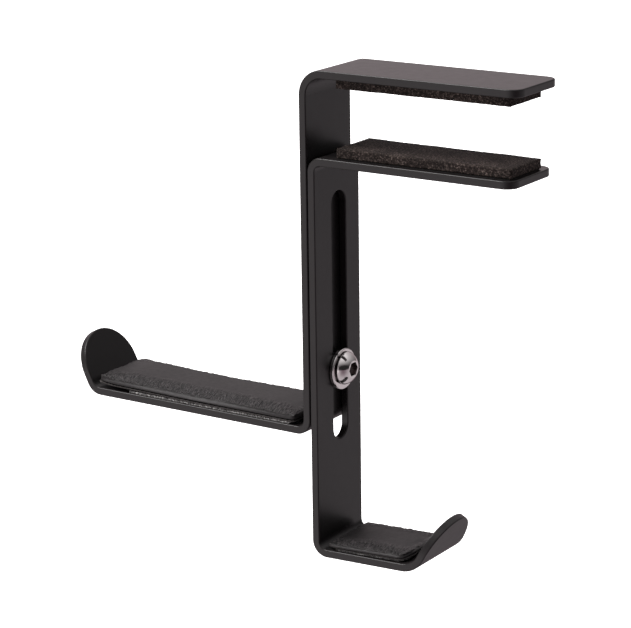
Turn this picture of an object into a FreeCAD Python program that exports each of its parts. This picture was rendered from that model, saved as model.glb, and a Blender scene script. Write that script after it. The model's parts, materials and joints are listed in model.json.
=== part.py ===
import FreeCAD, Part

import math
import os

import Sketcher
from FreeCAD import Placement, Rotation, Vector

# Clamp-on headphone hook: two bent steel strips held together by one button-head screw.
# Frame: millimetres, +Z up, +X from the legs towards the desk, Y across the strip.
# Origin: on the upper jaw pad's underside, the face that rests on the desk top, midway
# along the pad and on the middle plane of the strips.

# Every driving dimension: alias, value, meaning.
DIMENSIONS = [
    ("strip_width", 25.0, "width of both steel strips"),
    ("strip_thick", 2.5, "thickness of both steel strips"),
    ("edge_round", 0.4, "rounding of the strips' edges under the powder coat"),
    ("jaw_corner", 4.0, "plan rounding at the free ends of the jaws"),
    ("tab_corner", 12.4, "plan rounding that makes each tab end a half circle"),
    ("leg_gap", 0.3, "gap between the two legs"),
    ("outer_height", 114.9, "outer bracket, arm underside to jaw top"),
    ("outer_jaw", 74.8, "outer bracket, back of the leg to the end of the jaw"),
    ("outer_top_bend", 6.75, "outer bracket, top bend radius at mid thickness"),
    ("outer_low_bend", 3.75, "outer bracket, arm bend radius at mid thickness"),
    ("arm_corner", 82.86, "outer bracket, back of the leg to the corner of the arm tab"),
    ("arm_tab", 18.3, "outer bracket, length of the arm tab from its corner"),
    ("arm_tab_lean", 25.9, "outer bracket, lean of the arm tab from upright, degrees"),
    ("arm_tab_bend", 4.25, "outer bracket, arm tab bend radius at mid thickness"),
    ("inner_height", 127.4, "inner bracket, hook heel to jaw top"),
    ("inner_jaw", 70.4, "inner bracket, back of the leg to the end of the jaw"),
    ("inner_top_bend", 3.25, "inner bracket, top bend radius at mid thickness"),
    ("inner_low_bend", 3.75, "inner bracket, hook bend radius at mid thickness"),
    ("hook_tilt", 2.1, "inner bracket, rise of the hook towards its tab, degrees"),
    ("hook_corner", 37.0, "inner bracket, back of the leg to the corner of the hook tab"),
    ("hook_tab", 16.4, "inner bracket, length of the hook tab from its corner"),
    ("hook_tab_rise", 62.5, "inner bracket, angle of the hook tab from level, degrees"),
    ("hook_tab_bend", 8.0, "inner bracket, hook tab bend radius at mid thickness"),
    ("jaw_opening", 17.6, "gap between the two jaw pads as shown"),
    ("slot_width", 8.0, "slot in the inner leg, width"),
    ("slot_shift", 0.8, "slot and screw, sideways from the middle of the strips"),
    ("slot_low", 35.3, "slot in the inner leg, heel to its lower end"),
    ("slot_high", 115.0, "slot in the inner leg, heel to its upper end"),
    ("slot_round", 0.35, "rounding of the slot's edges"),
    ("screw_height", 19.5, "screw axis above the arm's underside"),
    ("washer_radius", 6.5, "washer radius"),
    ("washer_hole", 3.3, "washer hole radius"),
    ("washer_thick", 1.5, "washer thickness"),
    ("washer_drop", 0.3, "how far the loose washer hangs below the screw axis"),
    ("washer_round", 0.35, "rounding of the washer's edges"),
    ("dome_radius", 5.25, "screw head radius where it is widest"),
    ("dome_foot", 4.75, "screw head radius on its underside"),
    ("dome_lift", 0.6, "height of the widest part of the head"),
    ("dome_height", 3.3, "screw head height"),
    ("dome_flat", 2.75, "radius of the flat on top of the dome"),
    ("dome_curve", 5.0, "radius of the dome's curved side"),
    ("socket_width", 4.0, "hexagon socket, width across its flats"),
    ("socket_depth", 2.1, "hexagon socket, depth"),
    ("socket_bevel", 0.15, "bevel around the mouth of the socket"),
    ("shank_radius", 2.95, "screw thread radius over its crests"),
    ("shank_length", 12.0, "screw length under the head"),
    ("shank_chamfer", 0.6, "chamfer at the screw's tip"),
    ("thread_pitch", 1.0, "distance between thread turns"),
    ("thread_depth", 0.45, "depth of the thread"),
    ("thread_half_groove", 0.44, "half the width of a thread groove at the crests"),
    ("thread_start", 1.6, "first thread groove below the head"),
    ("face_gap", 0.03, "running gap on each face of the washer"),
    ("nut_head_radius", 5.5, "clinch nut, radius of its head"),
    ("nut_head_height", 4.1, "clinch nut, height of its head behind the leg"),
    ("nut_collar_radius", 4.375, "clinch nut, radius of the collar in the leg"),
    ("nut_collar_length", 2.2, "clinch nut, length of the collar in the leg"),
    ("nut_bore_radius", 3.0, "clinch nut, radius of its bore"),
    ("nut_chamfer", 0.4, "clinch nut, chamfer of its bore and rim"),
    ("pad_length", 59.8, "jaw pads, along the jaw"),
    ("pad_width", 18.5, "jaw pads, across the jaw"),
    ("pad_thick", 3.0, "jaw pads, foam thickness"),
    ("pad_corner", 0.8, "jaw pads, plan corner rounding"),
    ("pad_tape", 0.25, "jaw pads, adhesive thickness"),
    ("pad_tape_inset", 0.4, "jaw pads, how far the adhesive stays inside the foam"),
    ("pad_reach", 40.6, "middle of the upper pad from the back of the outer leg"),
    ("pad_shift", 0.4, "upper pad, sideways from the middle of the strip"),
    ("lower_pad_reach", 41.9, "middle of the lower pad from the back of the outer leg"),
    ("lower_pad_shift", -1.5, "lower pad, sideways from the middle of the strip"),
    ("cover_wall", 0.7, "leather thickness of both cushions"),
    ("cover_round", 1.0, "rounding of the cushions' upper edges"),
    ("board_inset", 0.25, "how far a cushion's backing stays inside its leather"),
    ("tape_inset", 0.35, "how far a cushion's adhesive stays inside its leather"),
    ("core_gap", 0.05, "gap between a foam core and its leather cover"),
    ("crown_drop", 1.5, "how much lower a cushion's sides are than its crown"),
    ("arm_pad_length", 77.9, "arm cushion, along the arm"),
    ("arm_pad_width", 24.4, "arm cushion, across the arm"),
    ("arm_pad_height", 4.9, "arm cushion, steel to crown"),
    ("arm_pad_tape", 0.7, "arm cushion, adhesive thickness"),
    ("arm_pad_board", 0.9, "arm cushion, backing thickness"),
    ("arm_pad_corner", 1.6, "arm cushion, plan corner rounding"),
    ("arm_pad_centre", 42.5, "arm cushion, middle from the back of the outer leg"),
    ("arm_tape_length", 63.5, "arm cushion, length of its adhesive"),
    ("arm_tape_centre", 37.2, "arm cushion, middle of its adhesive from the leg's back"),
    ("hook_pad_length", 29.6, "hook cushion, along the hook"),
    ("hook_pad_width", 23.6, "hook cushion, across the hook"),
    ("hook_pad_height", 3.3, "hook cushion, steel to crown"),
    ("hook_pad_tape", 0.4, "hook cushion, adhesive thickness"),
    ("hook_pad_board", 0.6, "hook cushion, backing thickness"),
    ("hook_pad_corner", 1.8, "hook cushion, plan corner rounding"),
    ("hook_pad_centre", 20.1, "hook cushion, middle from the back of the inner leg"),
    ("hook_tape_length", 25.6, "hook cushion, length of its adhesive"),
]

# Two faces that meet at more than this angle have a sharp edge between them.
SHARP_ANGLE = math.radians(30)

# A half-round end is drawn with a radius this much over half its width, so that its arc
# stays just under half a turn.
HALF_ROUND_SLACK = 0.001

doc = FreeCAD.newDocument("headphone_hook")
sheet = doc.addObject("Spreadsheet::Sheet", "dims")


def fill_sheet():
    """Put every driving dimension in the sheet, one aliased row each."""
    for row, (alias, value, meaning) in enumerate(DIMENSIONS, start=1):
        sheet.set(f"A{row}", meaning)
        sheet.set(f"B{row}", str(value))
        sheet.setAlias(f"B{row}", alias)
    doc.recompute()


def size(expression):
    """The present value of an expression of sheet aliases."""
    return float(sheet.evalExpression(expression))


def new_body(name):
    body = doc.addObject("PartDesign::Body", name)
    body.Label = name
    return body


def new_sketch(body, name, role, offset="0"):
    """A sketch on one of the body's origin planes, moved along its normal by offset."""
    plane = next(part for part in body.Origin.OriginFeatures if part.Role == role)
    sketch = body.newObject("Sketcher::SketchObject", name)
    sketch.AttachmentSupport = (plane, [""])
    sketch.MapMode = "FlatFace"
    sketch.setExpression("AttachmentOffset.Base.z", offset)
    return sketch


def bind(sketch, kind, refs, expression):
    """Add a dimension constraint and tie its value to an expression."""
    index = sketch.addConstraint(Sketcher.Constraint(kind, *refs, size(expression)))
    sketch.setExpression(f"Constraints[{index}]", expression)


def pin_point(sketch, geometry, end, x, y):
    """Hold one end of a sketch curve at x, y from the sketch's origin."""
    bind(sketch, "DistanceX", (-1, 1, geometry, end), x)
    bind(sketch, "DistanceY", (-1, 1, geometry, end), y)


def arc_between(first, last, radius):
    """Arc that runs anticlockwise from first to last, and its place on its circle."""
    chord = last - first
    half = chord.Length / 2
    side = Vector(-chord.y, chord.x, 0).normalize()
    centre = (first + last) / 2 + side * math.sqrt(radius**2 - half**2)
    start = math.atan2(first.y - centre.y, first.x - centre.x)
    stop = math.atan2(last.y - centre.y, last.x - centre.x)
    circle = Part.Circle(centre, Vector(0, 0, 1), radius)
    return Part.ArcOfCircle(circle, start, stop)


def closed_outline(sketch, corners):
    """Closed outline through the corners, anticlockwise.

    A corner is (x, y) or (x, y, radius), all expressions. With a radius, an outward
    arc runs from it to the next corner, and otherwise a straight line does.
    """
    points = [Vector(size(corner[0]), size(corner[1]), 0) for corner in corners]
    count = len(corners)
    for i, corner in enumerate(corners):
        first = points[i]
        last = points[(i + 1) % count]
        if len(corner) == 3:
            curve = arc_between(first, last, size(corner[2]))
        else:
            curve = Part.LineSegment(first, last)
        sketch.addGeometry(curve)
    for i, corner in enumerate(corners):
        following = (i + 1) % count
        sketch.addConstraint(Sketcher.Constraint("Coincident", i, 2, following, 1))
        pin_point(sketch, i, 1, corner[0], corner[1])
        if len(corner) == 3:
            bind(sketch, "Radius", (i,), corner[2])


def rounded_rectangle(sketch, length, width, radius):
    """Rectangle centred on the sketch's origin, with rounded corners."""
    x = f"({length}) / 2"
    y = f"({width}) / 2"
    closed_outline(
        sketch,
        [
            (f"{x} - ({radius})", f"-{y}", radius),
            (x, f"-{y} + ({radius})"),
            (x, f"{y} - ({radius})", radius),
            (f"{x} - ({radius})", y),
            (f"-{x} + ({radius})", y, radius),
            (f"-{x}", f"{y} - ({radius})"),
            (f"-{x}", f"-{y} + ({radius})", radius),
            (f"-{x} + ({radius})", f"-{y}"),
        ],
    )


def circle(sketch, x, y, radius):
    middle = Vector(size(x), size(y), 0)
    sketch.addGeometry(Part.Circle(middle, Vector(0, 0, 1), size(radius)))
    pin_point(sketch, 0, 3, x, y)
    bind(sketch, "Radius", (0,), radius)


def bent_path(sketch, corners, radii):
    """Open path of straight runs joined by tangent arcs.

    Construction lines join the corners. Each run lies on one of them, and each bend
    arc is tangent to the runs before and after it.
    """
    points = [Vector(size(x), size(y), 0) for x, y in corners]
    runs = len(points) - 1
    bends = len(radii)
    ways = [(points[i + 1] - points[i]).normalize() for i in range(runs)]
    turns = [ways[i].cross(ways[i + 1]).z for i in range(bends)]
    angles = [ways[i].getAngle(ways[i + 1]) for i in range(bends)]
    trims = [size(radii[i]) * math.tan(angles[i] / 2) for i in range(bends)]
    for i in range(runs):
        guide = Part.LineSegment(points[i], points[i + 1])
        sketch.addGeometry(guide, True)
        pin_point(sketch, i, 1, *corners[i])
        pin_point(sketch, i, 2, *corners[i + 1])
    for i in range(runs):
        first = points[i] + ways[i] * (trims[i - 1] if i > 0 else 0)
        last = points[i + 1] - ways[i] * (trims[i] if i < bends else 0)
        sketch.addGeometry(Part.LineSegment(first, last))
    for i in range(bends):
        before = points[i + 1] - ways[i] * trims[i]
        after = points[i + 1] + ways[i + 1] * trims[i]
        ends = (before, after) if turns[i] > 0 else (after, before)
        sketch.addGeometry(arc_between(*ends, size(radii[i])))
    for i in range(runs):
        line = runs + i
        if i == 0:
            sketch.addConstraint(Sketcher.Constraint("Coincident", line, 1, i, 1))
        else:
            sketch.addConstraint(Sketcher.Constraint("PointOnObject", line, 1, i))
        if i == runs - 1:
            sketch.addConstraint(Sketcher.Constraint("Coincident", line, 2, i, 2))
        else:
            sketch.addConstraint(Sketcher.Constraint("PointOnObject", line, 2, i))
    for i in range(bends):
        arc = 2 * runs + i
        near, far = (1, 2) if turns[i] > 0 else (2, 1)
        line = runs + i
        sketch.addConstraint(Sketcher.Constraint("Tangent", line, 2, arc, near))
        sketch.addConstraint(Sketcher.Constraint("Tangent", line + 1, 1, arc, far))
        bind(sketch, "Radius", (arc,), radii[i])


def pad(body, name, sketch, length, midplane=False):
    feature = body.newObject("PartDesign::Pad", name)
    feature.Profile = sketch
    feature.SideType = "Symmetric" if midplane else "One side"
    feature.setExpression("Length", length)
    doc.recompute()
    return feature


def pocket(body, name, sketch, length, midplane=False, reverse=False):
    """Pocket that must remove material from the body."""
    before = body.Shape.Volume
    feature = body.newObject("PartDesign::Pocket", name)
    feature.Profile = sketch
    feature.SideType = "Symmetric" if midplane else "One side"
    feature.Reversed = reverse
    feature.setExpression("Length", length)
    doc.recompute()
    if body.Shape.Volume > before - 1e-3:
        raise RuntimeError(f"{name} removed nothing")
    return feature


def fillet(body, name, edges, radius):
    """Round the named edges of the body's present tip."""
    base = body.Tip
    feature = body.newObject("PartDesign::Fillet", name)
    feature.Base = (base, edges)
    feature.setExpression("Radius", radius)
    doc.recompute()
    return feature


def chamfer(body, name, edges, width):
    base = body.Tip
    feature = body.newObject("PartDesign::Chamfer", name)
    feature.Base = (base, edges)
    feature.setExpression("Size", width)
    doc.recompute()
    return feature


def edge_names(shape, test):
    """Names of the edges that pass a test, such as Edge7."""
    return [f"Edge{i}" for i, edge in enumerate(shape.Edges, start=1) if test(edge)]


def is_sharp(shape, edge):
    """True where the two faces at the edge's middle meet at an angle."""
    faces = shape.ancestorsOfType(edge, Part.Face)
    if len(faces) != 2:
        return False
    middle = edge.valueAt((edge.FirstParameter + edge.LastParameter) / 2)
    normals = [face.normalAt(*face.Surface.parameter(middle)) for face in faces]
    return normals[0].getAngle(normals[1]) > SHARP_ANGLE


def sharp_edges(shape):
    return edge_names(shape, lambda edge: is_sharp(shape, edge))


def short_edges_near(shape, place, reach):
    """Names of straight edges as long as the strip is thick, near a place."""

    def test(edge):
        straight = isinstance(edge.Curve, Part.Line)
        thin = abs(edge.Length - size("dims.strip_thick")) < 1e-3
        return straight and thin and (edge.CenterOfMass - place).Length < reach

    return edge_names(shape, test)


def bent_strip(name, corners, radii):
    """Steel strip bent along a path, with round jaw corners and a half-round tab.

    The path is in the XZ plane at mid thickness. It starts at the jaw's free end and
    ends at the tab's tip.
    """
    body = new_body(name)
    path = new_sketch(body, name + "_path", "XZ_Plane")
    bent_path(path, corners, radii)
    section = new_sketch(body, name + "_section", "YZ_Plane", corners[0][0])
    half_width = "dims.strip_width / 2"
    low = f"{corners[0][1]} - dims.strip_thick / 2"
    high = f"{corners[0][1]} + dims.strip_thick / 2"
    closed_outline(
        section,
        [
            (f"-{half_width}", low),
            (half_width, low),
            (half_width, high),
            (f"-{half_width}", high),
        ],
    )
    strip = body.newObject("PartDesign::AdditivePipe", name + "_strip")
    strip.Profile = section
    strip.Spine = path
    doc.recompute()
    ends = [
        (corners[0], "dims.jaw_corner", "_jaw_corners"),
        (corners[-1], "dims.tab_corner", "_tab_round"),
    ]
    for (x, z), radius, suffix in ends:
        place = Vector(size(x), 0, size(z))
        edges = short_edges_near(body.Shape, place, size("dims.strip_width") * 0.6)
        fillet(body, name + suffix, edges, radius)
    fillet(body, name + "_edges", sharp_edges(body.Shape), "dims.edge_round")
    return body


def place(body, x, y, z):
    """Tie the body's place in the part's frame to expressions."""
    body.setExpression("Placement.Base.x", x)
    body.setExpression("Placement.Base.y", y)
    body.setExpression("Placement.Base.z", z)


# Places in the part's frame that several sub-parts share.
LEG_BACK = "-dims.pad_reach"
INNER_BACK = f"{LEG_BACK} + dims.strip_thick + dims.leg_gap"
JAW_UNDERSIDE = "dims.pad_thick + dims.pad_tape"
ARM_UNDERSIDE = f"{JAW_UNDERSIDE} + dims.strip_thick - dims.outer_height"
ARM_TOP = f"{ARM_UNDERSIDE} + dims.strip_thick"
LOWER_JAW_TOP = "-dims.jaw_opening - dims.pad_thick - dims.pad_tape"
HEEL = f"{LOWER_JAW_TOP} - dims.inner_height"


def make_outer_bracket():
    """Upper jaw, back leg and arm. Own origin: back of the leg at the arm's underside."""
    mid = "dims.strip_thick / 2"
    jaw_mid = f"dims.outer_height - {mid}"
    corner = "-dims.arm_corner"
    tip_x = f"{corner} - dims.arm_tab * sin(dims.arm_tab_lean)"
    tip_z = f"{mid} + dims.arm_tab * cos(dims.arm_tab_lean)"
    body = bent_strip(
        "outer_bracket",
        [("dims.outer_jaw", jaw_mid), (mid, jaw_mid), (mid, mid), (corner, mid), (tip_x, tip_z)],
        ["dims.outer_top_bend", "dims.outer_low_bend", "dims.arm_tab_bend"],
    )
    hole = new_sketch(body, "outer_bracket_nut_hole_sketch", "YZ_Plane")
    circle(hole, "dims.slot_shift", "dims.screw_height", "dims.nut_collar_radius")
    pocket(body, "outer_bracket_nut_hole", hole, "dims.strip_thick", reverse=True)
    place(body, LEG_BACK, "0", ARM_UNDERSIDE)


def make_inner_bracket():
    """Lower jaw, front leg with its slot, and hook. Own origin: back of the leg at the heel."""
    mid = "dims.strip_thick / 2"
    jaw_mid = f"dims.inner_height - {mid}"
    heel_mid = f"{mid} / cos(dims.hook_tilt)"
    corner_z = f"{heel_mid} + dims.hook_corner * tan(dims.hook_tilt)"
    tip_x = "dims.hook_corner + dims.hook_tab * cos(dims.hook_tab_rise)"
    tip_z = f"{corner_z} + dims.hook_tab * sin(dims.hook_tab_rise)"
    start_z = f"{heel_mid} + {mid} * tan(dims.hook_tilt)"
    body = bent_strip(
        "inner_bracket",
        [
            ("dims.inner_jaw", jaw_mid),
            (mid, jaw_mid),
            (mid, start_z),
            ("dims.hook_corner", corner_z),
            (tip_x, tip_z),
        ],
        ["dims.inner_top_bend", "dims.inner_low_bend", "dims.hook_tab_bend"],
    )
    radius = "dims.slot_width / 2"
    end_radius = f"{radius} + {HALF_ROUND_SLACK}"
    near = f"dims.slot_shift - {radius}"
    far = f"dims.slot_shift + {radius}"
    low = f"dims.slot_low + {radius}"
    high = f"dims.slot_high - {radius}"
    slot = new_sketch(body, "inner_bracket_slot_sketch", "YZ_Plane")
    closed_outline(
        slot,
        [
            (near, low, end_radius),
            (far, low),
            (far, high, end_radius),
            (near, high),
        ],
    )
    pocket(body, "inner_bracket_slot", slot, "dims.strip_thick", reverse=True)
    fillet(body, "inner_bracket_slot_edges", sharp_edges(body.Shape), "dims.slot_round")
    place(body, INNER_BACK, "0", HEEL)


def turn(body, name, profile):
    """Turn a profile in the XZ plane once round the X axis."""
    turned = body.newObject("PartDesign::Revolution", name)
    turned.Profile = profile
    turned.ReferenceAxis = (profile, ["H_Axis"])
    turned.Angle = 360
    doc.recompute()


def round_edges(shape, radius, low_x, high_x):
    """Names of the circular edges of a radius that lie between two levels of X."""

    def test(edge):
        if not isinstance(edge.Curve, Part.Circle):
            return False
        same = abs(edge.Curve.Radius - radius) < 1e-3
        return same and low_x - 1e-3 < edge.CenterOfMass.x < high_x + 1e-3

    return edge_names(shape, test)


def make_clamp_screw():
    """Button-head screw. Own origin: middle of the head's underside, head on +X."""
    name = "clamp_screw"
    body = new_body(name)
    profile = new_sketch(body, name + "_profile", "XZ_Plane")
    closed_outline(
        profile,
        [
            ("-dims.shank_length", "0"),
            ("dims.dome_height", "0"),
            ("dims.dome_height", "dims.dome_flat", "dims.dome_curve"),
            ("dims.dome_lift", "dims.dome_radius"),
            ("0", "dims.dome_foot"),
            ("0", "dims.shank_radius"),
            ("dims.shank_chamfer - dims.shank_length", "dims.shank_radius"),
            ("-dims.shank_length", "dims.shank_radius - dims.shank_chamfer"),
        ],
    )
    turn(body, name + "_turned", profile)
    widest = round_edges(body.Shape, size("dims.dome_radius"), 0, size("dims.dome_height"))
    fillet(body, name + "_shoulder", widest, "dims.dome_lift / 2")
    hexagon = new_sketch(body, name + "_socket_sketch", "YZ_Plane", "dims.dome_height")
    across = "dims.socket_width / sqrt(3)"
    turns = [f"{60 * i}" for i in range(6)]
    closed_outline(hexagon, [(f"{across} * cos({a})", f"{across} * sin({a})") for a in turns])
    pocket(body, name + "_socket", hexagon, "dims.socket_depth")
    top = size("dims.dome_height")
    mouth = edge_names(
        body.Shape,
        lambda edge: isinstance(edge.Curve, Part.Line) and abs(edge.BoundBox.XMin - top) < 1e-3,
    )
    chamfer(body, name + "_socket_mouth", mouth, "dims.socket_bevel")
    make_thread(body, name)
    under_head = f"{INNER_BACK} + dims.strip_thick + dims.washer_thick + 2 * dims.face_gap"
    place(body, under_head, "dims.slot_shift", f"{ARM_UNDERSIDE} + dims.screw_height")


def make_thread(body, name):
    """Ring grooves along the shank, one to each turn of the thread."""
    profile = new_sketch(body, name + "_thread_sketch", "XZ_Plane")
    closed_outline(
        profile,
        [
            ("-dims.thread_start - dims.thread_half_groove", "dims.shank_radius"),
            ("-dims.thread_start", "dims.shank_radius - dims.thread_depth"),
            ("-dims.thread_start + dims.thread_half_groove", "dims.shank_radius"),
        ],
    )
    before = body.Shape.Volume
    groove = body.newObject("PartDesign::Groove", name + "_thread_turn")
    groove.Profile = profile
    groove.ReferenceAxis = (profile, ["H_Axis"])
    groove.Angle = 360
    doc.recompute()
    thread = body.newObject("PartDesign::LinearPattern", name + "_thread")
    thread.Originals = [groove]
    thread.Direction = (profile, ["H_Axis"])
    thread.Reversed = True
    thread.Occurrences = int(size("dims.shank_length / dims.thread_pitch")) - 2
    thread.setExpression("Length", f"dims.thread_pitch * {thread.Occurrences - 1}")
    body.Tip = thread
    doc.recompute()
    if body.Shape.Volume > before - 1:
        raise RuntimeError("the thread removed nothing")


def make_washer():
    """Plain washer under the screw head. Own origin: middle of its back face."""
    name = "washer"
    body = new_body(name)
    profile = new_sketch(body, name + "_profile", "XZ_Plane")
    closed_outline(
        profile,
        [
            ("0", "dims.washer_hole"),
            ("dims.washer_thick", "dims.washer_hole"),
            ("dims.washer_thick", "dims.washer_radius"),
            ("0", "dims.washer_radius"),
        ],
    )
    turn(body, name + "_turned", profile)
    rims = round_edges(body.Shape, size("dims.washer_radius"), 0, size("dims.washer_thick"))
    fillet(body, name + "_rims", rims, "dims.washer_round")
    front = f"{INNER_BACK} + dims.strip_thick + dims.face_gap"
    height = f"{ARM_UNDERSIDE} + dims.screw_height - dims.washer_drop"
    place(body, front, "dims.slot_shift", height)


def make_clinch_nut():
    """Round nut pressed into the outer leg from behind. Own origin: on its axis, leg's back."""
    name = "clinch_nut"
    body = new_body(name)
    profile = new_sketch(body, name + "_profile", "XZ_Plane")
    closed_outline(
        profile,
        [
            ("-dims.nut_head_height", "dims.nut_bore_radius"),
            ("dims.nut_collar_length", "dims.nut_bore_radius"),
            ("dims.nut_collar_length", "dims.nut_collar_radius"),
            ("0", "dims.nut_collar_radius"),
            ("0", "dims.nut_head_radius"),
            ("-dims.nut_head_height", "dims.nut_head_radius"),
        ],
    )
    turn(body, name + "_turned", profile)
    back = -size("dims.nut_head_height")
    mouth = round_edges(body.Shape, size("dims.nut_bore_radius"), back, back)
    rim = round_edges(body.Shape, size("dims.nut_head_radius"), back, back)
    chamfer(body, name + "_edges", mouth + rim, "dims.nut_chamfer")
    place(body, LEG_BACK, "dims.slot_shift", f"{ARM_UNDERSIDE} + dims.screw_height")


def flat_piece(name, length, width, corner, thickness, x, y, z):
    """Flat rounded sheet. Own origin: middle of its underside."""
    body = new_body(name)
    outline = new_sketch(body, name + "_outline", "XY_Plane")
    rounded_rectangle(outline, length, width, corner)
    pad(body, name + "_sheet", outline, thickness)
    place(body, x, y, z)
    return body


def make_jaw_pads():
    """Foam pad and adhesive under the upper jaw, and the same pair on the lower jaw."""
    foam = ("dims.pad_length", "dims.pad_width", "dims.pad_corner", "dims.pad_thick")
    tape = (
        "dims.pad_length - 2 * dims.pad_tape_inset",
        "dims.pad_width - 2 * dims.pad_tape_inset",
        "dims.pad_corner",
        "dims.pad_tape",
    )
    lower = ("dims.lower_pad_reach - dims.pad_reach", "dims.lower_pad_shift")
    flat_piece("upper_jaw_pad", *foam, "0", "dims.pad_shift", "0")
    flat_piece("upper_pad_adhesive", *tape, "0", "dims.pad_shift", "dims.pad_thick")
    flat_piece("lower_pad_adhesive", *tape, *lower, LOWER_JAW_TOP)
    flat_piece("lower_jaw_pad", *foam, *lower, f"{LOWER_JAW_TOP} + dims.pad_tape")


def crowned_section(sketch, width, low, side, crown):
    """Section of a cushion: flat below, upright sides and an arched top."""
    half = f"({width}) / 2"
    rise = f"(({crown}) - ({side}))"
    arch = f"(({half}) ^ 2 + {rise} ^ 2) / (2 * {rise})"
    closed_outline(
        sketch,
        [
            (f"-({half})", low),
            (half, low),
            (half, side, arch),
            (f"-({half})", side),
        ],
    )


def top_edges(shape, low):
    """Names of the sharp edges above the level low."""
    return edge_names(
        shape, lambda edge: is_sharp(shape, edge) and edge.BoundBox.ZMin > low + 1e-3
    )


def make_cushion(prefix, key, tape_length):
    """Leather cover, foam core, backing and adhesive of one cushion.

    Own origin of each piece: on the steel under the piece's middle. The cover is open
    below, where the backing closes it. key names the cushion's rows in the sheet.
    """
    length = f"dims.{key}_length"
    width = f"dims.{key}_width"
    corner = f"dims.{key}_corner"
    base = f"(dims.{key}_tape + dims.{key}_board)"
    crown = f"dims.{key}_height"
    side = f"({crown} - dims.crown_drop)"
    wall = "dims.cover_wall"

    cover = new_body(prefix + "_cover")
    outer = new_sketch(cover, prefix + "_cover_section", "YZ_Plane")
    crowned_section(outer, width, base, side, crown)
    pad(cover, prefix + "_cover_block", outer, length, midplane=True)
    posts = edge_names(
        cover.Shape,
        lambda edge: isinstance(edge.Curve, Part.Line)
        and abs(edge.tangentAt(edge.FirstParameter).z) > 0.99,
    )
    fillet(cover, prefix + "_cover_corners", posts, corner)
    tops = top_edges(cover.Shape, size(base))
    fillet(cover, prefix + "_cover_top", tops, "dims.cover_round")
    hollow = new_sketch(cover, prefix + "_cover_hollow_section", "YZ_Plane")
    crowned_section(
        hollow, f"{width} - 2 * {wall}", base, f"{side} - {wall}", f"{crown} - {wall}"
    )
    pocket(cover, prefix + "_cover_hollow", hollow, f"{length} - 2 * {wall}", midplane=True)

    core = new_body(prefix + "_foam")
    inner = new_sketch(core, prefix + "_foam_section", "YZ_Plane")
    inset = f"({wall} + dims.core_gap)"
    crowned_section(
        inner, f"{width} - 2 * {inset}", base, f"{side} - {inset}", f"{crown} - {inset}"
    )
    pad(core, prefix + "_foam_block", inner, f"{length} - 2 * {inset}", midplane=True)

    board = new_body(prefix + "_backing")
    board_outline = new_sketch(board, prefix + "_backing_outline", "XY_Plane", f"dims.{key}_tape")
    board_size = (f"{length} - 2 * dims.board_inset", f"{width} - 2 * dims.board_inset")
    rounded_rectangle(board_outline, *board_size, corner)
    pad(board, prefix + "_backing_sheet", board_outline, f"dims.{key}_board")

    tape = new_body(prefix + "_adhesive")
    tape_outline = new_sketch(tape, prefix + "_adhesive_outline", "XY_Plane")
    tape_width = f"{width} - 2 * dims.tape_inset"
    rounded_rectangle(tape_outline, tape_length, tape_width, "dims.pad_corner")
    pad(tape, prefix + "_adhesive_sheet", tape_outline, f"dims.{key}_tape")
    return (cover, core, board), tape


def make_arm_cushion():
    """Cushion of the arm. Its adhesive is shorter than it is, and nearer to the leg."""

    def locate(piece, reach):
        place(piece, f"{LEG_BACK} - {reach}", "0", ARM_TOP)

    pieces, tape = make_cushion("arm_cushion", "arm_pad", "dims.arm_tape_length")
    for piece in pieces:
        locate(piece, "dims.arm_pad_centre")
    locate(tape, "dims.arm_tape_centre")


def make_hook_cushion():
    """Cushion of the hook. It is tilted with the hook, about the middle of its underside."""
    heel_top = "dims.strip_thick / cos(dims.hook_tilt)"
    rise = "dims.hook_pad_centre * tan(dims.hook_tilt)"
    pieces, tape = make_cushion("hook_cushion", "hook_pad", "dims.hook_tape_length")
    for piece in (*pieces, tape):
        piece.Placement = Placement(Vector(), Rotation(Vector(0, -1, 0), 1))
        piece.setExpression("Placement.Rotation.Angle", "dims.hook_tilt * 1 deg")
        x = f"{INNER_BACK} + dims.hook_pad_centre"
        place(piece, x, "0", f"{HEEL} + {heel_top} + {rise}")


def check_document():
    """Stop if any object failed to build."""
    for item in doc.Objects:
        if {"Invalid", "Error"} & set(item.State):
            raise RuntimeError(f"{item.Name} is {item.State}")
    for sketch in doc.findObjects("Sketcher::SketchObject"):
        if not sketch.FullyConstrained:
            raise RuntimeError(f"{sketch.Name} is not fully constrained")


def write_parts():
    """Write every sub-part's shape to parts/, in the part's frame."""
    os.makedirs("parts", exist_ok=True)
    for body in doc.findObjects("PartDesign::Body"):
        shape = body.Shape
        if shape.isNull() or not shape.isValid() or len(shape.Solids) != 1:
            raise RuntimeError(f"{body.Label} has no valid solid")
        shape.exportStep(f"parts/{body.Label}.step")
        print(f"{body.Label:24s} {shape.Volume:10.1f} mm3  {shape.BoundBox}")


fill_sheet()
make_outer_bracket()
make_inner_bracket()
make_clamp_screw()
make_washer()
make_clinch_nut()
make_jaw_pads()
make_arm_cushion()
make_hook_cushion()
doc.recompute()
check_document()
write_parts()
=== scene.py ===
import json
import math

import bmesh
import bpy
import numpy as np
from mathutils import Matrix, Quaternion, Vector, noise


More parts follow.
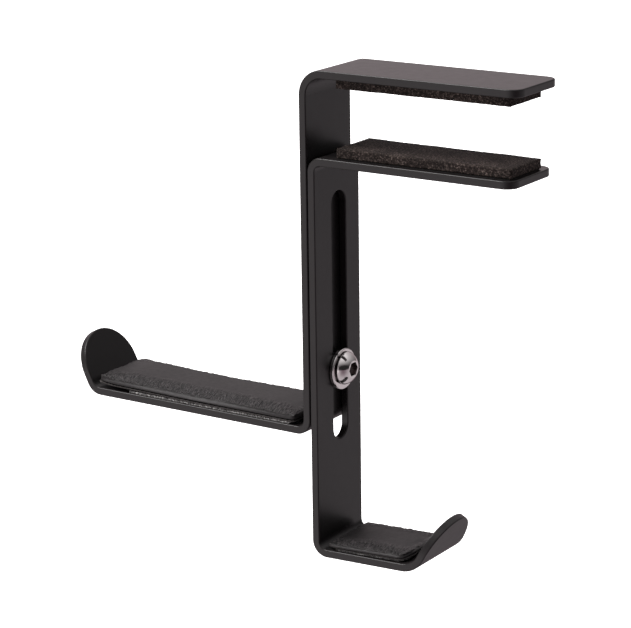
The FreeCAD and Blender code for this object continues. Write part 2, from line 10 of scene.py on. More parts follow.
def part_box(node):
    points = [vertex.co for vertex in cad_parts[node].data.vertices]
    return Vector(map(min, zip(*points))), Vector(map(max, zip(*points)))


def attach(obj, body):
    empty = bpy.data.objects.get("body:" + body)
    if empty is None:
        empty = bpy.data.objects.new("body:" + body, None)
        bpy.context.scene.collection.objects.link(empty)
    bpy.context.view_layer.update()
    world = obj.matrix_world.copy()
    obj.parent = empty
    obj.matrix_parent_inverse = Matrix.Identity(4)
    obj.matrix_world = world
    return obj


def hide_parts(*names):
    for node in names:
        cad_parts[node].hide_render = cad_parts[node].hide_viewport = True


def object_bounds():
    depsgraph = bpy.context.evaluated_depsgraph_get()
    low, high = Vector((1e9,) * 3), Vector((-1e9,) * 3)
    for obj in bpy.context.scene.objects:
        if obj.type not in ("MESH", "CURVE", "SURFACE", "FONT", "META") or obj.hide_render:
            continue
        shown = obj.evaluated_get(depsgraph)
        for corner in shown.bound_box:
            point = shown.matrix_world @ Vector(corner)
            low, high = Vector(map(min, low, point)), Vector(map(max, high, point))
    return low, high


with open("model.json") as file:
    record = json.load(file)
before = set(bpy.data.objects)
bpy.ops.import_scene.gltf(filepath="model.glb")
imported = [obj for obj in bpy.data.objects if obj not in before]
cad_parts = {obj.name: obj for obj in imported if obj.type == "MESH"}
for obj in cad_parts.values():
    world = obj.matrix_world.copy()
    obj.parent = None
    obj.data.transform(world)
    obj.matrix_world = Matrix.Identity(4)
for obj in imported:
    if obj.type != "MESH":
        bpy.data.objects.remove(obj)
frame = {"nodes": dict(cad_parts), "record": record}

# Looks for the clamp-on headphone hook. Lengths are in metres, in the frame of the model:
# +Z up, +X into the desk, Y across the strips, origin on the upper pad's underside.
MM = 0.001

cad_low, cad_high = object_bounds()
nodes = frame["nodes"]


def points_of(mesh):
    """Where the mesh's points are, one to a row."""
    points = np.zeros(len(mesh.vertices) * 3)
    mesh.vertices.foreach_get("co", points)
    return points.reshape(-1, 3)


# ---------------------------------------------------------------- shader helpers

def new_material(name):
    """An empty principled material: its node tree, shader and object coordinates."""
    material = bpy.data.materials.new(name)
    material.use_nodes = True
    tree = material.node_tree
    shader = tree.nodes["Principled BSDF"]
    place = tree.nodes.new("ShaderNodeTexCoord").outputs["Object"]
    return material, tree, shader, place


def feed(tree, socket, value):
    """Give a socket its value: another socket's, or a plain number, vector or colour."""
    if isinstance(value, bpy.types.NodeSocket):
        tree.links.new(value, socket)
    else:
        socket.default_value = value


def noise_at(tree, place, size, detail=2.0, roughness=0.5, stretch=(1, 1, 1)):
    """Noise whose features are about size metres across."""
    mapping = tree.nodes.new("ShaderNodeMapping")
    mapping.inputs["Scale"].default_value = [s / size for s in stretch]
    tree.links.new(place, mapping.inputs["Vector"])
    texture = tree.nodes.new("ShaderNodeTexNoise")
    texture.inputs["Scale"].default_value = 1.0
    texture.inputs["Detail"].default_value = detail
    texture.inputs["Roughness"].default_value = roughness
    tree.links.new(mapping.outputs["Vector"], texture.inputs["Vector"])
    return texture.outputs["Fac"]


def cells_at(tree, place, size):
    """Distance from the middle of the nearest of many cells about size metres across."""
    texture = tree.nodes.new("ShaderNodeTexVoronoi")
    texture.inputs["Scale"].default_value = 1 / size
    tree.links.new(place, texture.inputs["Vector"])
    return texture.outputs["Distance"]


def ramp(tree, value, stops):
    """Colour ramp: stops are (position, grey or colour)."""
    node = tree.nodes.new("ShaderNodeValToRGB")
    elements = node.color_ramp.elements
    while len(elements) < len(stops):
        elements.new(0.5)
    for element, (position, colour) in zip(elements, stops):
        element.position = position
        if not hasattr(colour, "__len__"):
            colour = (colour,) * 3
        element.color = (*colour, 1)
    tree.links.new(value, node.inputs["Fac"])
    return node.outputs["Color"]


def bump(tree, height, distance, strength, after=None):
    """Normals of a surface that height raises by up to distance. after is a bump under it."""
    node = tree.nodes.new("ShaderNodeBump")
    node.inputs["Distance"].default_value = distance
    node.inputs["Strength"].default_value = strength
    tree.links.new(height, node.inputs["Height"])
    if after is not None:
        tree.links.new(after, node.inputs["Normal"])
    return node.outputs["Normal"]


def stepped(tree, value, start, end):
    """0 on the start side, 1 on the end side and an even curve between."""
    node = tree.nodes.new("ShaderNodeMapRange")
    node.interpolation_type = "SMOOTHSTEP"
    node.inputs["From Min"].default_value = start
    node.inputs["From Max"].default_value = end
    tree.links.new(value, node.inputs["Value"])
    return node.outputs["Result"]


def mixed(tree, kind, amount, first, second):
    """Two colours mixed in the way that kind names."""
    node = tree.nodes.new("ShaderNodeMix")
    node.data_type = "RGBA"
    node.blend_type = kind
    for socket, value in (("Factor", amount), ("A", first), ("B", second)):
        feed(tree, node.inputs[socket], value)
    return node.outputs["Result"]


def number_math(tree, kind, first, second):
    """A number worked out from two others."""
    node = tree.nodes.new("ShaderNodeMath")
    node.operation = kind
    feed(tree, node.inputs[0], first)
    feed(tree, node.inputs[1], second)
    return node.outputs["Value"]


def vector_math(tree, kind, *values):
    """A node that works out a vector, or a number, from one or two vectors."""
    node = tree.nodes.new("ShaderNodeVectorMath")
    node.operation = kind
    for socket, value in zip(node.inputs, values):
        feed(tree, socket, value)
    return node


def axes_of(tree, vector):
    """The X, Y and Z parts of a vector."""
    node = tree.nodes.new("ShaderNodeSeparateXYZ")
    tree.links.new(vector, node.inputs[0])
    return node.outputs


# ---------------------------------------------------------------- materials

def powder_coat():
    """Satin black powder coat: fine orange peel and faint mottling."""
    material, tree, shader, place = new_material("powder_coat")
    mottle = noise_at(tree, place, 14 * MM, detail=3)
    colour = ramp(tree, mottle, [(0.3, (0.013, 0.0112, 0.0116)), (0.7, (0.016, 0.0140, 0.0144))])
    tree.links.new(colour, shader.inputs["Base Color"])
    patch = noise_at(tree, place, 3 * MM, detail=4)
    gloss = ramp(tree, patch, [(0.3, 0.315), (0.7, 0.345)])
    tree.links.new(gloss, shader.inputs["Roughness"])
    shader.inputs["Specular IOR Level"].default_value = 0.42
    peel = noise_at(tree, place, 0.45 * MM, detail=2)
    tree.links.new(bump(tree, peel, 0.02 * MM, 0.3), shader.inputs["Normal"])
    return material


def polished_steel():
    """Polished stainless steel, with painted shade: its colour darkens where ambient occlusion finds
    it sheltered, and in the screw's driving socket.
    """
    material, tree, shader, place = new_material("stainless_steel")
    screw = points_of(nodes["clamp_screw"].data)
    top = screw.max(axis=0)
    middle = (top + screw.min(axis=0)) / 2
    crest = (top[0], middle[1], middle[2])
    away = vector_math(tree, "SUBTRACT", place, crest).outputs["Vector"]
    across = vector_math(tree, "MULTIPLY", away, (0, 1, 1)).outputs["Vector"]
    radius = vector_math(tree, "LENGTH", across).outputs["Value"]
    # Painted shade in the driving socket: the colour darkens from just outside its corners inward,
    # and from just under its rim down.
    corners = (2.5 * MM, 2.33 * MM)
    rim = (-0.12 * MM, -0.35 * MM)
    inside = stepped(tree, radius, *corners)
    sunk = stepped(tree, axes_of(tree, away)["X"], *rim)
    socket = number_math(tree, "MULTIPLY", inside, sunk)
    stain = noise_at(tree, place, 1.2 * MM, detail=3)
    bright = ramp(tree, stain, [(0.3, (0.82, 0.78, 0.78)), (0.7, (0.92, 0.89, 0.89))])
    # Painted shade: ambient occlusion darkens the colour in recesses and between parts.
    shelter = tree.nodes.new("ShaderNodeAmbientOcclusion")
    shelter.inputs["Distance"].default_value = 1.1 * MM
    open_air = ramp(tree, shelter.outputs["AO"], [(0.28, 0.08), (0.66, 1.0)])
    ao_painted_shade_colour = mixed(tree, "MULTIPLY", 1.0, bright, open_air)
    # Painted shade: the socket's colour is mixed towards a dark grey.
    colour = mixed(tree, "MIX", socket, ao_painted_shade_colour, (0.30, 0.27, 0.27, 1))
    tree.links.new(colour, shader.inputs["Base Color"])
    gloss = ramp(tree, noise_at(tree, place, 0.5 * MM, detail=4), [(0.3, 0.09), (0.7, 0.15)])
    tree.links.new(gloss, shader.inputs["Roughness"])
    shader.inputs["Metallic"].default_value = 1.0
    scratches = noise_at(tree, place, 0.25 * MM, detail=3)
    tree.links.new(bump(tree, scratches, 0.008 * MM, 0.25), shader.inputs["Normal"])
    return material


def pad_foam():
    """Dark cellular rubber with open pores: over the rubber's own brown, the pale cell walls are a
    painted highlight and the dark pores painted shade.
    """
    material, tree, shader, place = new_material("pad_foam")
    speck = noise_at(tree, place, 0.5 * MM, detail=3, roughness=0.75)
    pore_shade = (0.009, 0.0065, 0.0055)
    rubber = (0.042, 0.031, 0.027)
    wall_highlight = (0.23, 0.185, 0.165)
    # Painted highlight on the pale cell walls and painted shade in the dark pores, at random spots
    # over the rubber's own colour.
    cells = ramp(tree, speck, [(0.36, pore_shade), (0.54, rubber), (0.68, wall_highlight)])
    wear_and_painted_light = ramp(tree, noise_at(tree, place, 8 * MM, detail=3), [(0.35, 0.6), (0.65, 1.15)])
    tree.links.new(mixed(tree, "MULTIPLY", 1.0, cells, wear_and_painted_light), shader.inputs["Base Color"])
    shader.inputs["Roughness"].default_value = 0.8
    shader.inputs["Specular IOR Level"].default_value = 0.2
    rough = bump(tree, speck, 0.2 * MM, 0.8)
    pores = cells_at(tree, place, 0.5 * MM)
    tree.links.new(bump(tree, pores, 0.15 * MM, 0.7, rough), shader.inputs["Normal"])
    return material


def leather():
    """Satin black synthetic leather: fine grain, and small gathers where it turns over an edge. On
    the gathers the colour is lightened on the ridges and darkened between them, a painted highlight
    and painted shade.

    The mesh's gather attribute says how strongly the leather is gathered at each point.
    """
    material, tree, shader, place = new_material("leather")
    cloud = noise_at(tree, place, 9 * MM, detail=3)
    colour = ramp(tree, cloud, [(0.3, (0.0138, 0.0120, 0.0125)), (0.7, (0.0180, 0.0159, 0.0164))])
    attribute = tree.nodes.new("ShaderNodeAttribute")
    attribute.attribute_name = "gather"
    gathered = attribute.outputs["Fac"]
    crease = noise_at(tree, place, 0.34 * MM, detail=2, stretch=(1, 0.25, 0.35))
    # Painted highlight and painted shade on the gathers: the colour is raised up to 3.2 times on
    # their ridges and lowered between them.
    ridge_highlight_crease_shade = ramp(tree, crease, [(0.40, 0.40), (0.50, 1.1), (0.60, 3.2)])
    wear_and_painted_light = mixed(tree, "MIX", gathered, (1, 1, 1, 1), ridge_highlight_crease_shade)
    tree.links.new(mixed(tree, "MULTIPLY", 1.0, colour, wear_and_painted_light), shader.inputs["Base Color"])
    gloss = ramp(tree, noise_at(tree, place, 1.5 * MM, detail=3), [(0.3, 0.56), (0.7, 0.63)])
    shine = ramp(tree, gathered, [(0.0, 1.0), (1.0, 0.86)])
    tree.links.new(mixed(tree, "MULTIPLY", 1.0, gloss, shine), shader.inputs["Roughness"])
    grain = noise_at(tree, place, 0.3 * MM, detail=3, roughness=0.6)
    fine = bump(tree, grain, 0.03 * MM, 0.4)
    depth = number_math(tree, "MULTIPLY", crease, gathered)
    tree.links.new(bump(tree, depth, 0.9 * MM, 1.0, fine), shader.inputs["Normal"])
    return material


def backing_board():
    """Grey fibre board, seen only as a cut edge."""
    material, tree, shader, place = new_material("backing_board")
    fibre = noise_at(tree, place, 0.5 * MM, detail=4, roughness=0.7)
    colour = ramp(tree, fibre, [(0.35, (0.016, 0.0145, 0.014)), (0.65, (0.085, 0.078, 0.075))])
    tree.links.new(colour, shader.inputs["Base Color"])
    shader.inputs["Roughness"].default_value = 0.8
    tree.links.new(bump(tree, fibre, 0.1 * MM, 0.7), shader.inputs["Normal"])
    return material


def foam_tape(name, pale):
    """Foam tape: torn cells over dark glue. pale is the brightness of their light parts."""
    material, tree, shader, place = new_material(name)
    cells = noise_at(tree, place, 0.7 * MM, detail=4, roughness=0.75)
    glue = (0.02, 0.018, 0.017)
    colour = ramp(tree, cells, [(0.40, glue), (0.50, 0.24 * pale), (0.62, (pale, pale, 0.96 * pale))])
    tree.links.new(colour, shader.inputs["Base Color"])
    shader.inputs["Roughness"].default_value = 0.55
    tree.links.new(bump(tree, cells, 0.2 * MM, 0.8), shader.inputs["Normal"])
    return material


def adhesive_film():
    """Black film under the foam pads."""
    material, tree, shader, place = new_material("adhesive_film")
    smear = noise_at(tree, place, 0.8 * MM, detail=3)
    colour = ramp(tree, smear, [(0.3, (0.012, 0.011, 0.011)), (0.7, (0.03, 0.028, 0.027))])
    tree.links.new(colour, shader.inputs["Base Color"])
    shader.inputs["Roughness"].default_value = 0.6
    tree.links.new(bump(tree, smear, 0.05 * MM, 0.5), shader.inputs["Normal"])
    return material


def zinc_plate():
    """Bright zinc with a faint turned finish."""
    material, tree, shader, place = new_material("zinc_plate")
    shader.inputs["Metallic"].default_value = 1.0
    bloom = noise_at(tree, place, 1.5 * MM, detail=3)
    colour = ramp(tree, bloom, [(0.3, (0.42, 0.43, 0.44)), (0.7, (0.56, 0.57, 0.58))])
    tree.links.new(colour, shader.inputs["Base Color"])
    gloss = ramp(tree, noise_at(tree, place, 0.6 * MM, detail=3), [(0.3, 0.28), (0.7, 0.42)])
    tree.links.new(gloss, shader.inputs["Roughness"])
    turned = noise_at(tree, place, 0.15 * MM, detail=2, stretch=(1, 0.1, 0.1))
    tree.links.new(bump(tree, turned, 0.01 * MM, 0.5), shader.inputs["Normal"])
    return material


MATERIALS = {
    "powder_coat": powder_coat(),
    "stainless_steel": polished_steel(),
    "zinc_plate": zinc_plate(),
    "pad_foam": pad_foam(),
    "adhesive_film": adhesive_film(),
    "leather": leather(),
    "backing_board": backing_board(),
    "foam_tape": foam_tape("foam_tape", 0.75),
    # A darker copy of the foam tape, for the hook's cushion: painted shade.
    "dark_foam_tape": foam_tape("dark_foam_tape", 0.3),
}


def dress(obj, name):
    """Give an object its only material."""
    obj.data.materials.clear()
    obj.data.materials.append(MATERIALS[name])


for entry in frame["record"]["subparts"]:
    if entry["material_slot"] in MATERIALS:
        dress(nodes[entry["node"]], entry["material_slot"])


# ---------------------------------------------------------------- mesh helpers

def smooth(start, end, value):
    """0 on the start side, 1 on the end side and an even curve between."""
    t = np.clip((value - start) / (end - start), 0, 1)
    return t * t * (3 - 2 * t)


def noise_of(points, feature, seed=0.0, stretch=(1, 1, 1)):
    """Noise from -1 to 1 at each point, with features of a size in metres."""
    scaled = points * (np.array(stretch) / feature) + seed
    return np.array([noise.noise(Vector(point)) for point in scaled])


def new_object(name, mesh):
    obj = bpy.data.objects.new(name, mesh)
    bpy.context.scene.collection.objects.link(obj)
    return obj


def normals_of(mesh):
    normals = np.zeros(len(mesh.vertices) * 3)
    mesh.vertices.foreach_get("normal", normals)
    return normals.reshape(-1, 3)


def set_points(mesh, points):
    mesh.vertices.foreach_set("co", np.asarray(points, float).ravel())
    mesh.update()


def smooth_faces(mesh):
    mesh.polygons.foreach_set("use_smooth", [True] * len(mesh.polygons))


def shape_now(obj):
    """The object's mesh as its modifiers leave it, as a mesh of its own."""
    graph = bpy.context.evaluated_depsgraph_get()
    return bpy.data.meshes.new_from_object(obj.evaluated_get(graph))


def refine(obj, levels):
    """Apply subdivision surface to the object's own mesh."""
    modifier = obj.modifiers.new("refine", "SUBSURF")
    modifier.levels = levels
    modifier.render_levels = levels
    fresh = shape_now(obj)
    obj.modifiers.clear()
    old = obj.data
    obj.data = fresh
    bpy.data.meshes.remove(old)


def slab(length, width, corners, step, rows):
    """Closed slab with rounded corners, as a unit-height mesh.

    corners are the plan radii at the -X end and the +X end. The mesh runs from z 0 to
    z 1, with rows of faces up its sides, and step is the size of a face in plan.
    """
    columns = round(length / step)
    lines = round(width / step)
    across, along = np.meshgrid(
        np.linspace(-width / 2, width / 2, lines + 1),
        np.linspace(-length / 2, length / 2, columns + 1),
    )
    radius = np.where(along < 0, corners[0], corners[1])
    a = (np.abs(along) - (length / 2 - radius)) / radius
    b = (np.abs(across) - (width / 2 - radius)) / radius
    corner = (a > 0) & (b > 0)
    reach = np.where(corner, np.maximum(a, b) / np.sqrt(a * a + b * b + 1e-12), 1)
    along = np.where(corner, np.sign(along) * (length / 2 - radius + radius * a * reach), along)
    across = np.where(corner, np.sign(across) * (width / 2 - radius + radius * b * reach), across)

    mesh = bmesh.new()
    ring = (
        [(i, 0) for i in range(columns)]
        + [(columns, j) for j in range(lines)]
        + [(i, lines) for i in range(columns, 0, -1)]
        + [(0, j) for j in range(lines, 0, -1)]
    )
    sheets = []
    for z in (0.0, 1.0):
        sheets.append([
            [mesh.verts.new((along[i, j], across[i, j], z)) for j in range(lines + 1)]
            for i in range(columns + 1)
        ])
    low, high = sheets
    for i in range(columns):
        for j in range(lines):
            mesh.faces.new((low[i][j], low[i][j + 1], low[i + 1][j + 1], low[i + 1][j]))
            mesh.faces.new((high[i][j], high[i + 1][j], high[i + 1][j + 1], high[i][j + 1]))
    rings = [[low[i][j] for i, j in ring]]
    for row in range(1, rows):
        z = row / rows
        rings.append([mesh.verts.new((along[i, j], across[i, j], z)) for i, j in ring])
    rings.append([high[i][j] for i, j in ring])
    for under, over in zip(rings, rings[1:]):
        for k in range(len(ring)):
            after = (k + 1) % len(ring)
            mesh.faces.new((under[k], under[after], over[after], over[k]))
    data = bpy.data.meshes.new("slab")
    mesh.to_mesh(data)
    mesh.free()
    return data


# ---------------------------------------------------------------- foam jaw pads

def foam_pad(node, body, seed):
    """Foam pad of a jaw: soft edges, cut sides and open pores, in place of its plain block."""
    low, high = (np.array(corner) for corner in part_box(node))
    length, width, height = high - low
    corner = 0.9 * MM
    edge = 0.35 * MM
    mesh = slab(length, width, (corner, corner), 0.42 * MM, 7)
    points = points_of(mesh)
    points[:, 2] = (points[:, 2] - 0.5) * height
    inside = np.minimum(length / 2 - np.abs(points[:, 0]), width / 2 - np.abs(points[:, 1]))
    droop = np.sqrt(np.clip(1 - (1 - np.clip(inside / edge, 0, 1)) ** 2, 0, 1))
    flat = np.abs(points[:, 2]) > height * 0.499
    points[flat, 2] *= (1 - edge / (height / 2) * (1 - droop))[flat]
    points += (low + high) / 2
    set_points(mesh, points)
    normals = normals_of(mesh)
    swell = noise_of(points, 7 * MM, seed) * 0.10 * MM
    cells = noise_of(points, 0.8 * MM, seed + 5) * 0.09 * MM
    pores = np.clip(noise_of(points, 0.9 * MM, seed + 11) - 0.25, 0, 1) * -0.35 * MM
    side = 1 - np.abs(normals[:, 2])
    depth = swell + cells * (0.5 + side) + pores * (0.4 + side)
    resting = (normals[:, 2] > 0.9) if body == "outer" else (normals[:, 2] < -0.9)
    depth[resting] = 0
    set_points(mesh, points + normals * depth[:, None])
    smooth_faces(mesh)
    obj = new_object(node + "_foam", mesh)
    dress(obj, "pad_foam")
    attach(obj, body)
    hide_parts(node)


foam_pad("upper_jaw_pad", "outer", 3.0)
foam_pad("lower_jaw_pad", "inner", 41.0)


# ---------------------------------------------------------------- leather cushions

# The simulation runs on a copy this many times as large, where its time step suits it.
SIM_SCALE = 10
SIM_FRAMES = 20
AIR_PRESSURE = 5.0
CLOTH_GROWTH = 0.002
FURTHEST_SWELL = 1.2 * MM


def inflate(obj, pinned):
    """Fill the mesh with air: pinned points stay, and the rest of the cloth may grow."""
    group = obj.vertex_groups.new(name="pinned")
    group.add([int(i) for i in np.flatnonzero(pinned)], 1.0, "REPLACE")
    cloth = obj.modifiers.new("cloth", "CLOTH")
    settings = cloth.settings
    settings.quality = 8
    settings.mass = 0.2
    settings.tension_stiffness = 30
    settings.compression_stiffness = 30
    settings.shear_stiffness = 10
    settings.bending_stiffness = 6
    settings.air_damping = 3
    settings.use_pressure = True
    settings.uniform_pressure_force = AIR_PRESSURE
    settings.shrink_min = -CLOTH_GROWTH
    settings.effector_weights.gravity = 0
    settings.vertex_group_mass = "pinned"
    cloth.collision_settings.use_collision = False
    cloth.point_cache.frame_start = 1
    cloth.point_cache.frame_end = SIM_FRAMES
    scene = bpy.context.scene
    for step in range(1, SIM_FRAMES + 1):
        scene.frame_set(step)
    fresh = shape_now(obj)
    obj.modifiers.clear()
    obj.vertex_groups.clear()
    obj.data = fresh
    scene.frame_set(1)


def swollen(obj, points, pinned):
    """Where the points go when the object is filled with air, none of them too far."""
    set_points(obj.data, points * SIM_SCALE)
    inflate(obj, pinned)
    away = points_of(obj.data) / SIM_SCALE - points
    far = np.linalg.norm(away, axis=1)
    return points + away * (np.minimum(far, FURTHEST_SWELL) / np.maximum(far, 1e-9))[:, None]


def crown(points, length, width, side, top):
    """Height of a cushion's leather over its plan: low sides, round shoulders, a full top."""
    x = np.clip(np.abs(points[:, 0]) / (length / 2), 0, 1)
    y = np.clip(np.abs(points[:, 1]) / (width / 2), 0, 1)
    return side + (top - side) * np.sqrt((1 - y**5) * (1 - x**12))


def crease(mesh, length, width, rise, seed):
    """Gather the leather along its sides, fold it over its ends and leave its hem smooth.

    The mesh's gather attribute keeps how strongly each point is gathered.
    """
    points = points_of(mesh)
    normals = normals_of(mesh)
    level = points[:, 2] / rise
    side_way = np.abs(points[:, 1])
    end_way = np.abs(points[:, 0])
    ragged = noise_of(points, 4 * MM, seed + 29) * 1.2 * MM
    near_edge = smooth(width / 2 - 7.0 * MM, width / 2 - 3.5 * MM, side_way + ragged)
    near_end = smooth(length / 2 - 3.0 * MM, length / 2 - 0.8 * MM, end_way)
    above_hem = smooth(0.30, 0.48, level)
    gathers = noise_of(points, 0.8 * MM, seed, (1, 0.3, 0.4))
    slant = points + np.array([0.35, 0, 0]) * points[:, [1]]
    cross = noise_of(slant, 0.7 * MM, seed + 19, (1, 0.3, 0.4))
    folds = noise_of(points, 1.1 * MM, seed + 7, (0.25, 1, 0.3))
    lumps = noise_of(points, 9 * MM, seed + 37)
    depth = (gathers + cross) / 2 * near_edge * 0.32 * MM + folds * near_end * 0.35 * MM
    depth = depth * above_hem + lumps * 0.10 * MM * smooth(0.3, 0.8, level)
    set_points(mesh, points + normals * depth[:, None])
    gather = mesh.attributes.new("gather", "FLOAT", "POINT")
    gather.data.foreach_set("value", np.maximum(near_edge, near_end * 0.6) * above_hem)


def cushion(name, length, width, corners, bottom, top, seed):
    """Leather cushion in its own frame: x along the strip, z up from the steel.

    bottom and top are the heights of the leather's lower edge and of its crown.
    """
    rise = top - bottom
    obj = new_object(name, slab(length, width, corners, 0.9 * MM, 3))
    points = points_of(obj.data)
    level = points[:, 2].copy()
    points[:, 2] = level * crown(points, length, width, 0.42 * rise, 0.93 * rise)
    points = swollen(obj, points, level < 0.4)
    points[:, 2] *= rise / points[:, 2].max()
    set_points(obj.data, points)
    refine(obj, 2)
    crease(obj.data, length, width, rise, seed)
    set_points(obj.data, points_of(obj.data) + np.array([0, 0, bottom]))
    smooth_faces(obj.data)
    return obj


def layer(name, length, width, corner, low, high, ragged, seed):
    """Thin sheet under a cushion, in the cushion's own frame.

    It reaches from height low to height high, and its cut edge wanders in and out by up to
    ragged.
    """
    mesh = slab(length, width, (corner, corner), 0.45 * MM, 3)
    points = points_of(mesh)
    points[:, 2] = low + (high - low) * points[:, 2]
    set_points(mesh, points)
    normals = normals_of(mesh)
    sides = 1 - np.abs(normals[:, 2])
    depth = noise_of(points, 1.1 * MM, seed) * ragged * sides
    wave = noise_of(points * np.array([1, 1, 0]), 6 * MM, seed + 3) * 0.06 * MM
    points = points + normals * depth[:, None]
    points[:, 2] += wave * (points[:, 2] > (low + high) / 2)
    set_points(mesh, points)
    smooth_faces(mesh)
    return new_object(name, mesh)


def settle(obj, place, slot, body, stands_for, look=None):
    """Put a piece made in its own frame where place says, dress it, hang it on its body and hide the
    parts it stands for.

    look is its material, where that isn't the one named after its slot.
    """
    mesh = obj.data
    set_points(mesh, place(points_of(mesh)))
    dress(obj, look or slot)
    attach(obj, body)
    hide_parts(*stands_for)


def middle_under(node):
    """The middle of a node's box, at its lowest level."""
    low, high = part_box(node)
    return np.array([(low.x + high.x) / 2, (low.y + high.y) / 2, low.z])


def size_of(node):
    low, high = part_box(node)
    return high - low


def make_arm_cushion():
    """Cushion of the arm. Its outer end rides up on the bend of the tab."""
    cover = size_of("arm_cushion_cover")
    tape = size_of("arm_cushion_adhesive")
    middle = middle_under("arm_cushion_cover")[0]
    tape_middle, _, steel = middle_under("arm_cushion_adhesive")
    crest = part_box("arm_cushion_cover")[1].z - steel
    half = cover.x / 2

    def place(points):
        x = points[:, 0]
        lift = 0.45 * MM * smooth(0.2 * half, -half, x) + 0.5 * MM * smooth(-0.8 * half, -half, x)
        return points + np.stack([np.full_like(x, middle), 0 * x, steel + lift], axis=1)

    def place_tape(points):
        return points + np.array([tape_middle, 0, steel])

    leather_piece = cushion(
        "arm_cushion_leather", cover.x, cover.y, corners=(3.2 * MM, 1.8 * MM),
        bottom=1.6 * MM, top=crest, seed=17.0,
    )
    settle(leather_piece, place, "leather", "outer", ["arm_cushion_cover", "arm_cushion_foam"])
    board = layer(
        "arm_cushion_board", cover.x - 0.5 * MM, cover.y - 0.3 * MM, corner=1.5 * MM,
        low=0.85 * MM, high=1.25 * MM, ragged=0.12 * MM, seed=23.0,
    )
    settle(board, place, "backing_board", "outer", ["arm_cushion_backing"])
    strip = layer(
        "arm_cushion_tape", tape.x, tape.y, corner=0.8 * MM,
        low=0.05 * MM, high=0.72 * MM, ragged=0.3 * MM, seed=31.0,
    )
    settle(strip, place_tape, "foam_tape", "outer", ["arm_cushion_adhesive"])


# The hook rises this much towards its tab, and its cushion lies along it.
HOOK_TILT = math.radians(2.1)


def make_hook_cushion():
    """Cushion of the hook. Its outer end bends up with the tab."""
    low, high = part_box("hook_cushion_adhesive")
    middle = np.array((low + high) / 2)
    along = np.array([math.cos(HOOK_TILT), 0, math.sin(HOOK_TILT)])
    up = np.array([-math.sin(HOOK_TILT), 0, math.cos(HOOK_TILT)])
    steel = middle - up * 0.2 * MM
    cover = size_of("hook_cushion_cover")
    half = cover.x / 2
    bend_start = half - 4.5 * MM
    bend_radius = 9 * MM

    def place(points):
        x, y, z = points.T
        over = np.maximum(x - bend_start, 0)
        angle = over / bend_radius
        bent_x = np.minimum(x, bend_start) + (bend_radius - z) * np.sin(angle)
        bent_z = bend_radius - (bend_radius - z) * np.cos(angle)
        bent_z = bent_z + 0.25 * MM * smooth(-half, half, x)
        return steel + np.outer(bent_x, along) + np.outer(y, [0, 1, 0]) + np.outer(bent_z, up)

    length = cover.x + 0.8 * MM
    leather_piece = cushion(
        "hook_cushion_leather", length, cover.y, corners=(1.8 * MM, 4.5 * MM),
        bottom=1.0 * MM, top=3.3 * MM, seed=53.0,
    )
    settle(leather_piece, place, "leather", "inner", ["hook_cushion_cover", "hook_cushion_foam"])
    board = layer(
        "hook_cushion_board", length - 0.8 * MM, cover.y - 0.4 * MM, corner=4.0 * MM,
        low=0.5 * MM, high=0.8 * MM, ragged=0.15 * MM, seed=59.0,
    )
    settle(board, place, "backing_board", "inner", ["hook_cushion_backing"])
    strip = layer(
        "hook_cushion_tape", length - 3.5 * MM, cover.y - 0.6 * MM, corner=3.0 * MM,
        low=0.02 * MM, high=0.42 * MM, ragged=0.25 * MM, seed=61.0,
    )
    # The hook's tape takes the darker copy of the foam tape: painted shade.
    settle(strip, place, "foam_tape", "inner", ["hook_cushion_adhesive"], look="dark_foam_tape")


make_arm_cushion()
make_hook_cushion()


# ---------------------------------------------------------------- stage, light and camera

def make_floor():
    """White floor well below the object. It glows, and sends no light onto the object."""
    bpy.ops.mesh.primitive_plane_add(size=60, location=(0, 0, cad_low.z - 0.12))
    floor = bpy.context.object
    floor.name = "floor"
    material, _, shader, _ = new_material("floor")
    shader.inputs["Base Color"].default_value = (0.9, 0.9, 0.9, 1)
    shader.inputs["Roughness"].default_value = 0.9
    shader.inputs["Emission Color"].default_value = (1, 1, 1, 1)
    shader.inputs["Emission Strength"].default_value = 1.0
    floor.data.materials.append(material)
    floor.visible_diffuse = False
    floor.visible_glossy = False


# Studio light from each side: the way it comes from, colour, strength and how narrow it is.
# A strength below zero takes light away.
STUDIO = [
    ((0.0, 0.0, 1.0), (1.0, 0.98, 0.98), 0.90, 2),
    ((-0.6, 0.78, 0.2), (1.0, 0.85, 0.88), 0.60, 6),
    ((-0.5, -0.3, 0.8), (1.0, 0.97, 0.97), 15.0, 34),
    ((0.4, 0.85, 0.35), (1.0, 0.95, 0.95), 0.10, 6),
    ((-0.45, -0.88, -0.15), (1.0, 0.95, 0.95), 0.68, 4),
    ((0.78, -0.6, -0.2), (1.0, 1.0, 1.0), -0.33, 5),
    ((-0.35, 0.85, -0.40), (1.0, 1.0, 1.0), -0.45, 16),
]
ROOM = (0.040, 0.036, 0.038)
DARKEST = (0.02, 0.02, 0.02)
FLOOR_GLOW = (0.46, 0.420, 0.435)
# How far up a ray has to point to miss the floor's glow, and how far down to get it all.
FLOOR_EDGE = (0.02, -0.14)


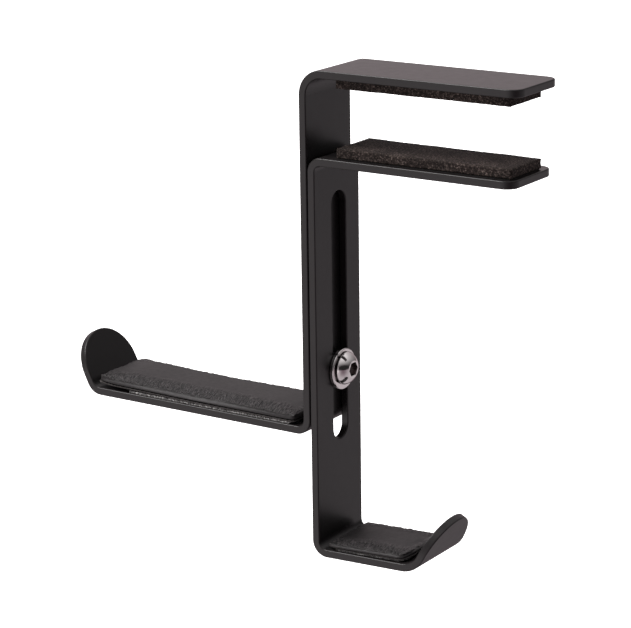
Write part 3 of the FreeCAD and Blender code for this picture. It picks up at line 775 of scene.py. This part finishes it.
def make_world():
    """Soft studio light: a dim room, a pale floor and a glow from each of a few sides.

    What shows behind the object is a plain white backdrop, like the floor.
    """
    world = bpy.data.worlds.new("studio")
    world.use_nodes = True
    tree = world.node_tree
    way = tree.nodes.new("ShaderNodeTexCoord").outputs["Generated"]

    def scaled(colour, amount):
        node = vector_math(tree, "SCALE", colour)
        tree.links.new(amount, node.inputs["Scale"])
        return node.outputs["Vector"]

    below = stepped(tree, axes_of(tree, way)["Z"], *FLOOR_EDGE)
    light = vector_math(tree, "ADD", scaled(FLOOR_GLOW, below), ROOM).outputs["Vector"]
    for direction, colour, strength, narrowness in STUDIO:
        toward = tuple(Vector(direction).normalized())
        facing = vector_math(tree, "DOT_PRODUCT", way, toward).outputs["Value"]
        ahead = number_math(tree, "MAXIMUM", facing, 0.0)
        fall = number_math(tree, "POWER", ahead, narrowness)
        glow = scaled(tuple(strength * channel for channel in colour), fall)
        light = vector_math(tree, "ADD", light, glow).outputs["Vector"]
    light = vector_math(tree, "MAXIMUM", light, DARKEST).outputs["Vector"]
    seen = tree.nodes.new("ShaderNodeLightPath").outputs["Is Camera Ray"]
    backdrop = mixed(tree, "MIX", seen, light, (1, 1, 1, 1))
    background = tree.nodes["Background"]
    tree.links.new(backdrop, background.inputs["Color"])
    background.inputs["Strength"].default_value = 1.0
    bpy.context.scene.world = world


# The way from what the camera aims at to the camera, its turn about that way, its distance
# in metres and its lens in millimetres.
AZIMUTH = math.radians(33.83)
ELEVATION = math.radians(15.55)
ROLL = math.radians(-0.81)
DISTANCE = 0.770
LENS = 141.3
AIM = (cad_low + cad_high) / 2 + Vector((5.3, 0, -2.4)) * MM


def make_camera():
    """Long lens on the object's +X and -Y side, looking a little down at it."""
    camera = bpy.data.cameras.new("camera")
    camera.lens = LENS
    camera.sensor_width = 36
    holder = bpy.data.objects.new("camera", camera)
    bpy.context.scene.collection.objects.link(holder)
    back = Vector((
        math.sin(AZIMUTH) * math.cos(ELEVATION),
        -math.cos(AZIMUTH) * math.cos(ELEVATION),
        math.sin(ELEVATION),
    ))
    holder.location = AIM + back * DISTANCE
    holder.rotation_mode = "QUATERNION"
    level = (-back).to_track_quat("-Z", "Y")
    holder.rotation_quaternion = Quaternion(back, ROLL) @ level
    bpy.context.scene.camera = holder


bpy.context.scene.view_settings.view_transform = "Standard"
make_floor()
make_world()
make_camera()
